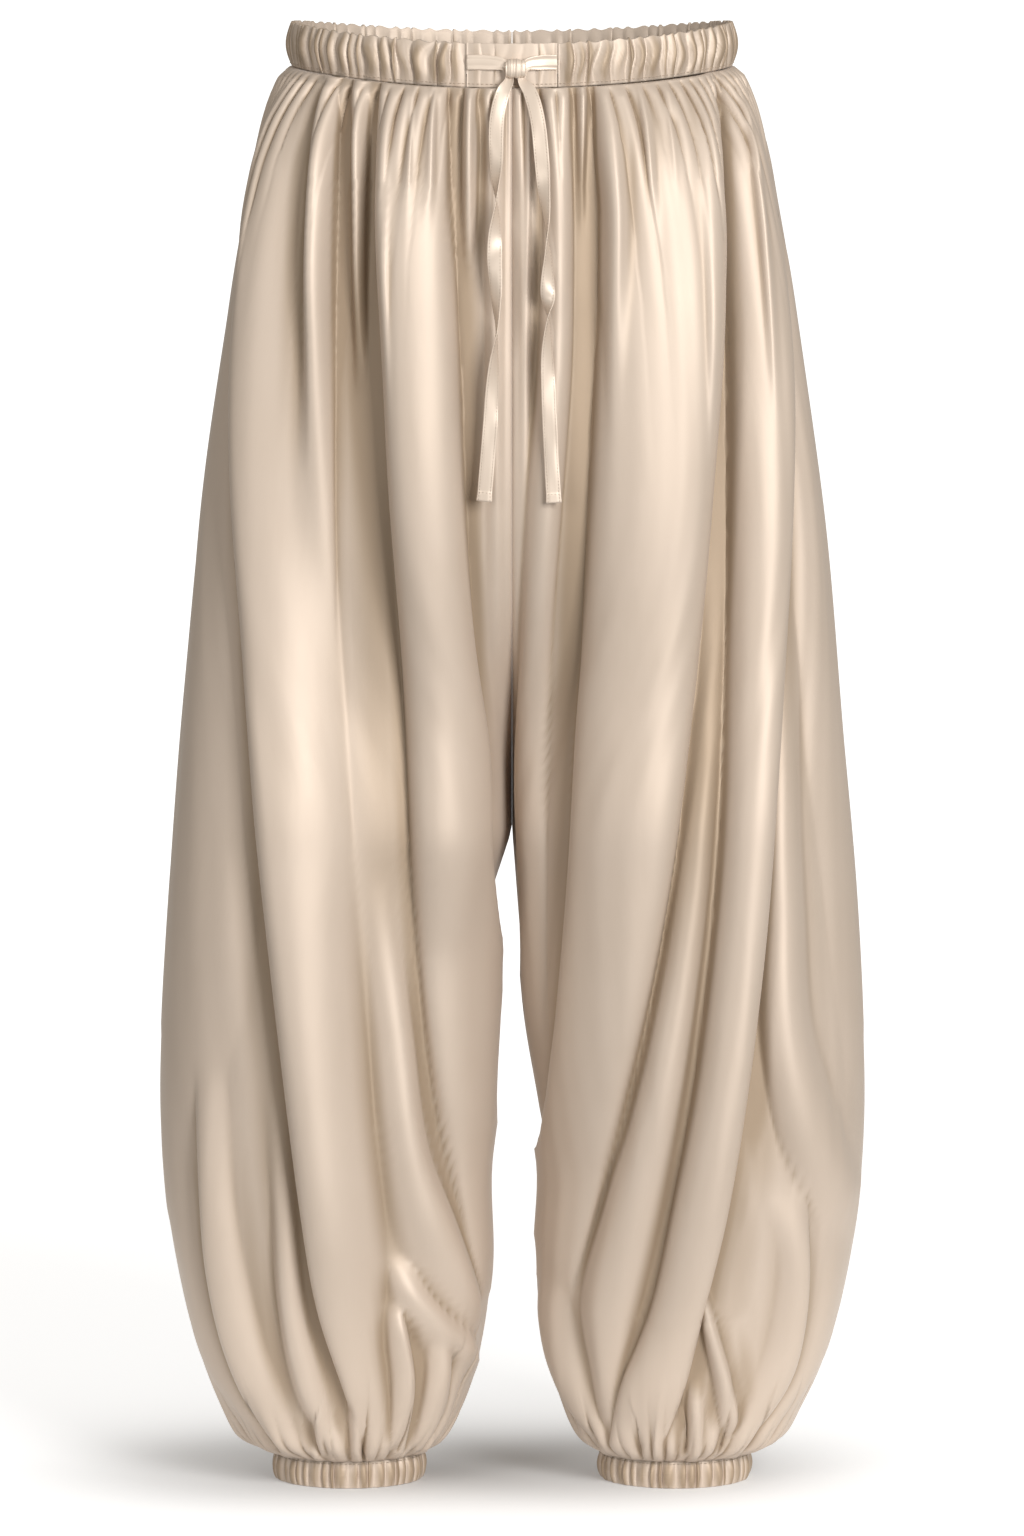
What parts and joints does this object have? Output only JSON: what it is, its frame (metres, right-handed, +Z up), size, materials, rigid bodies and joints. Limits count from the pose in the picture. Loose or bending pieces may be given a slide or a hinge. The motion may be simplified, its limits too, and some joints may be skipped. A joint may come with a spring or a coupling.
{
  "type": "balloon pants",
  "caption": "Satin balloon trousers filled out as when worn: gathered waist casing with flat front ties, full pleated legs and gathered ankle cuffs.",
  "frame": {"origin": "middle of the waist opening, at the mid-height of the waist casing's sides, where the wearer's waist holds the trousers", "axes": "+Z up out of the waist opening, -Y out of the front where the ties hang, +X to the wearer's left"},
  "size_m": [0.476, 0.2758, 0.9974],
  "materials": {
    "satin": "champagne satin, gently shiny, fine lengthwise threads"
  },
  "bodies": {
    "root": {"front_left": "satin", "front_right": "satin", "back_left": "satin", "back_right": "satin", "waistband_front": "satin", "waistband_left": "satin", "waistband_right": "satin", "cuff_left": "satin", "cuff_right": "satin", "tie_run_left": "satin", "tie_run_right": "satin", "tie_knot": "satin", "tie_tail_left": "satin", "tie_tail_right": "satin"}
  },
  "joints": []
}
